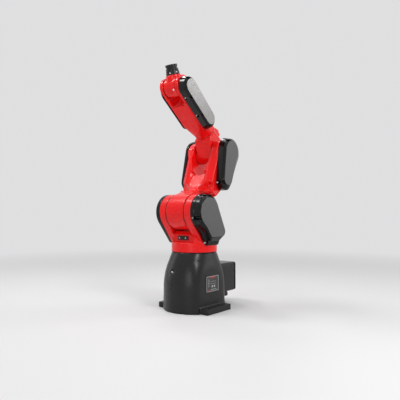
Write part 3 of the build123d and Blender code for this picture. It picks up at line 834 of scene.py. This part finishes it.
REAR = Vector((0, 1, 0))
PANEL_FACE = 190
REAR_PLATE_FACE = 79
CAP_END = -49
CAP_MIDDLE = 50
CAP_SCREW_RADIUS = 21
panel_spots = [Vector((x, PANEL_FACE, z)) * MM for x in (-55, 55) for z in (57, 107, 157)]
plate_spots = [Vector((x, REAR_PLATE_FACE, z)) * MM for x in (-24, 24) for z in (260, 272)]
screws("panel_screws", "base", panel_spots, REAR, 2.4, 2.4, "black_steel")
screws("rear_plate_screws", "turret", plate_spots, REAR, 1.8, 1.8, "black_steel")
cap_turns = [tau * (step + 0.5) / 4 for step in range(4)]
cap_spots = []
for turn in cap_turns:
    across = CAP_MIDDLE + CAP_SCREW_RADIUS * cos(turn)
    cap_spots.append(FOREARM.at(across, CAP_END, CAP_SCREW_RADIUS * sin(turn)))
screws("motor_cap_screws", "elbow", cap_spots, -FOREARM.along, 2.4, 2.4, "black_steel")

# %% [markdown]
# ## Screws round the wrist collar
# Six small screws point inwards all round the collar, and their heads show as bright dots in the
# photograph. Each has its own axis, so each is a turned shape with its own direction, joined into one piece.

# %% Collar screws
COLLAR_SCREW_ALONG = 50.5
COLLAR_FIRST_TURN = -73
COLLAR_SURFACE = 24.2


def collar_screws(shape):
    for step in range(6):
        turn = radians(COLLAR_FIRST_TURN + 60 * step)
        outwards = WRIST.side * cos(turn) + WRIST.across * sin(turn)
        seat = WRIST.start + (WRIST.along * COLLAR_SCREW_ALONG + outwards * COLLAR_SURFACE) * MM
        screw_head(shape, seat, outwards, 1.9, 1.6)


joined("collar_screws", "wrist", "bright_steel", collar_screws)

# %% [markdown]
# ## Running seals at the joints
# Where two castings turn against each other, a rubber lip closes the gap. It shows as a fine dark line
# between the two reds, and without it light would leak into the gap. A lip is a closed profile turned
# round the joint's axis, so the same helper makes all of them.

# %% Seals
SEAL_STEPS = 96
WAIST_GAP = 215.7
ROLL_GAP = 80.3
MOTOR_ACROSS = 50


def lip(shape, centre, axis, inner, outer, half_thickness):
    """A closed ring: its profile is a rectangle with a tapered outer edge."""
    edge = outer - half_thickness
    profile = [(inner, -half_thickness), (edge, -half_thickness), (outer, 0)]
    profile += [(edge, half_thickness), (inner, half_thickness)]
    rings = turned_loops(shape, profile, SEAL_STEPS, centre, axis)
    for low, high in zip(rings, rings[1:] + rings[:1]):
        walls(shape, low, high)


def side_lips(centre, radius, x_places):
    """Builds a lip on each side of a joint whose axis runs across the robot."""
    def build(shape):
        for x in x_places:
            lip(shape, centre + SIDE * x * MM, SIDE, radius - 4, radius, 0.5)
    return build


def waist_lip(shape):
    lip(shape, Vector((0, 0, WAIST_GAP)) * MM, (0, 0, 1), 81, 85.6, 0.5)


def roll_lip(shape):
    lip(shape, FOREARM.at(MOTOR_ACROSS, ROLL_GAP, 0), FOREARM.along, 37, 40.9, 0.45)


joined("waist_seal", "base", "seal", waist_lip)
joined("shoulder_seals", "turret", "seal", side_lips(TURRET.start, 65.6, (-42.4, 42.4)))
joined("elbow_seals", "lower_arm", "seal", side_lips(FOREARM.start, 32.8, (-44.4, 44.4)))
joined("roll_seal", "elbow", "seal", roll_lip)
joined("wrist_seals", "forearm", "seal", side_lips(WRIST.start, 35.4, (-29.5, 29.5)))

# %% [markdown]
# ## The data plate
# The plate on the base is a thin anodised sheet with a printed border and blank ruled fields: a red bar,
# a column of short strips and a few squares. Each mark is a thin raised slab with rounded corners, because
# printed ink has an edge too.

# %% Marks on the data plate
CORNER_STEPS = 4


def rounded_outline(half_width, half_height, corner):
    """Points of a rounded rectangle, anticlockwise."""
    points = []
    for sign_x, sign_y, first in ((1, 1, 0), (-1, 1, 90), (-1, -1, 180), (1, -1, 270)):
        for step in range(CORNER_STEPS + 1):
            turn = radians(first + 90 * step / CORNER_STEPS)
            x = sign_x * (half_width - corner) + corner * cos(turn)
            points.append((x, sign_y * (half_height - corner) + corner * sin(turn)))
    return points


def tablet(shape, centre, right, up, width, height, corner, thickness):
    """Adds a thin slab with rounded corners: its front faces along right x up."""
    right, up = Vector(right), Vector(up)
    rise = right.cross(up) * thickness * MM
    outline = rounded_outline(width / 2, height / 2, corner)
    spots = [Vector(centre) + (right * x + up * y) * MM for x, y in outline]
    back = [shape.verts.new(spot) for spot in spots]
    front = [shape.verts.new(spot + rise) for spot in spots]
    closed_body(shape, [back, front])


PLATE_FACE = 87.15
PLATE_MIDDLE = 101.0
INK_THICKNESS = 0.35


def plate_marks(marks):
    """Builds marks given as (towards the rear, up, width, height) from the plate's middle."""
    def build(shape):
        for y, z, width, height in marks:
            spot = Vector((PLATE_FACE, y, PLATE_MIDDLE + z)) * MM
            corner = min(width, height) * 0.3
            tablet(shape, spot, (0, 1, 0), (0, 0, 1), width, height, corner, INK_THICKNESS)
    return build


BORDER = [(0, 27, 73, 1.7), (0, -27, 73, 1.7), (-35.7, 0, 1.7, 55), (35.7, 0, 1.7, 55)]
COLUMN = [(-23, 15 - 6 * row, 7, 2) for row in range(5)]
FIELDS = [(-2, -10, 8, 8), (11, -10, 8, 8), (6, -21, 34, 1.8), (4, 8, 34, 1), (4, 0, 34, 1)]
joined("plate_print", "base", "pale_ink", plate_marks(BORDER + COLUMN + FIELDS))
joined("plate_red_bars", "base", "red_ink", plate_marks([(0, 23.2, 30, 3.6), (-24, -22, 12, 3.2)]))

# %% [markdown]
# ## Small fittings on the front
# A lip of the turret casting runs above the front window, just clear of the shoulder hub. The window holds
# two screws, the front plug is locked by one, and a round plug closes the wrist's filling hole.

# %% Front fittings
HUB_CLEAR_RADIUS = 72.8
LIP_FRONT = -20
LIP_SLANT = 9
LIP_REAR = 12
LIP_FOOT = -86
LIP_HALF_WIDTH = 41.5


def turret_lip(shape):
    """A bar with a slanted front, whose top follows the hub at a running distance."""
    top = [LIP_FRONT + LIP_SLANT + (LIP_REAR - LIP_FRONT - LIP_SLANT) * step / 8 for step in range(9)]
    outline = [(LIP_FRONT, LIP_FOOT), (LIP_FRONT, LIP_FOOT + 2)]
    outline += [(across, -(HUB_CLEAR_RADIUS ** 2 - across ** 2) ** 0.5) for across in top]
    outline += [(LIP_REAR, LIP_FOOT)]
    sides = (-LIP_HALF_WIDTH, LIP_HALF_WIDTH)
    ends = [[shape.verts.new(TURRET.at(a, r, x)) for a, r in outline] for x in sides]
    closed_body(shape, ends)


WINDOW_SCREWS = [(-17, -66, 268.5), (12, -66, 268.5)]
PLUG_SCREW = (-14.5, -108, 144.8)


def window_screws(shape):
    for place in WINDOW_SCREWS:
        screw_head(shape, Vector(place) * MM, -REAR, 1.9, 1.9)


def plug_screw(shape):
    screw_head(shape, Vector(PLUG_SCREW) * MM, -REAR, 2.4, 2.2)


WRIST_PLUG_X = 17
WRIST_DRUM_RADIUS = 35.8


def button(shape, centre, axis, radius, height):
    """A low round plug with a dimple in its middle."""
    profile = [(radius + 0.8, -0.8), (radius + 0.8, height * 0.3), (radius, height * 0.6)]
    profile += [(radius - 0.7, height), (radius * 0.4, height), (radius * 0.3, height * 0.5)]
    spun(shape, profile, 24, centre, axis)


def wrist_plug(shape):
    outwards = (WRIST.at(-32, -9, 0) - WRIST.start).normalized()
    place = WRIST.start + (SIDE * WRIST_PLUG_X + outwards * WRIST_DRUM_RADIUS) * MM
    button(shape, place, outwards, 3.2, 1.4)


joined("turret_lip", "turret", "red_enamel", turret_lip)
joined("window_screws", "turret", "bright_steel", window_screws)
joined("front_plug_screw", "base", "bright_steel", plug_screw)
joined("wrist_plug", "wrist", "bright_steel", wrist_plug)

# %% [markdown]
# ## Sockets at the back
# Power, signals and air come in through the panel at the back. The power socket is a deep hood with an
# insert full of pins and a locking lever on each side. It is modelled as an open shape, since one looks
# right into it.

# %% Hooded power socket
HOOD_DEPTH = 19.5
HOOD_X = -28
HOOD_HALF_WIDTH = 18.5
HOOD_HALF_HEIGHT = 37.5
HOOD_MIDDLE = 107
HOOD_WALL = 3.2
HOOD_FLOOR = 5
PIN_PITCH = 6


def hood(shape):
    """An open box with rounded corners: out along its outside, over the rim and back to its floor."""
    width, height = HOOD_HALF_WIDTH, HOOD_HALF_HEIGHT
    inner_width, inner_height = width - HOOD_WALL, height - HOOD_WALL
    sections = [(width, height, 4, 0), (width, height, 4, HOOD_DEPTH - 1)]
    sections += [(width - 1, height - 1, 3.5, HOOD_DEPTH)]
    sections += [(inner_width, inner_height, 2, HOOD_DEPTH), (inner_width, inner_height, 2, HOOD_FLOOR)]
    loops = []
    for half_width, half_height, corner, depth in sections:
        outline = rounded_outline(half_width, half_height, corner)
        spots = [Vector((HOOD_X + x, PANEL_FACE + depth, HOOD_MIDDLE + z)) * MM for x, z in outline]
        loops.append([shape.verts.new(spot) for spot in spots])
    closed_body(shape, loops)


def pin(shape, x, z, foot, height, radius):
    profile = [(radius, 0), (radius, height - radius), (radius * 0.5, height)]
    spun(shape, profile, 12, Vector((x, foot, z)) * MM, REAR)


def power_insert(shape):
    spot = Vector((HOOD_X, PANEL_FACE + 4, HOOD_MIDDLE)) * MM
    tablet(shape, spot, (-1, 0, 0), (0, 0, 1), 26, 64, 2, 8)


def power_pins(shape):
    for column in range(4):
        for row in range(10):
            x = HOOD_X - 9 + PIN_PITCH * column
            pin(shape, x, HOOD_MIDDLE - 27 + PIN_PITCH * row, PANEL_FACE + 12, 5, 0.9)


def power_levers(shape):
    """A flat lever beside each long side, on a pivot at its middle."""
    for side in (-1, 1):
        spot = Vector((HOOD_X + side * HOOD_HALF_WIDTH, PANEL_FACE + 10, HOOD_MIDDLE)) * MM
        tablet(shape, spot, (0, -side, 0), (0, 0, 1), 9, 58, 4, 1.6)
        spun(shape, [(3.2, 1.2), (3.2, 2.2), (2.4, 2.8)], 20, spot, SIDE * side)


hooded = joined("power_hood", "base", "black_plastic", hood)
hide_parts("power_connector")
joined("power_insert", "base", "seal", power_insert)
joined("power_pins", "base", "brass", power_pins)
joined("power_levers", "base", "bright_steel", power_levers)

# %% [markdown]
# ## The signal socket and the air ports
# The round socket screws onto its plug, so it has threads outside and a ring of pins inside. The air ports
# are brass tubes, each with a black collet that is pressed to let go of the hose.

# %% Signal socket and air ports
SIGNAL_PLACE = (28, 206, 129)
PORT_PLACES = [(14, 208, 81), (42, 208, 81)]


def signal_pins(shape):
    x, y, z = SIGNAL_PLACE
    for ring, count in ((7.5, 9), (3.4, 4)):
        for step in range(count):
            turn = tau * step / count
            pin(shape, x + ring * cos(turn), z + ring * sin(turn), y - 2, 1.9, 0.7)


def signal_threads(shape):
    x, y, z = SIGNAL_PLACE
    for turn in range(5):
        lip(shape, Vector((x, y - 2 - 2 * turn, z)) * MM, REAR, 14.5, 15.5, 0.7)


def port_collets(shape):
    for place in PORT_PLACES:
        lip(shape, Vector(place) * MM, REAR, 2.6, 4.9, 0.9)


joined("signal_pins", "base", "brass", signal_pins)
joined("signal_threads", "base", "bright_steel", signal_threads)
joined("port_collets", "base", "black_plastic", port_collets)
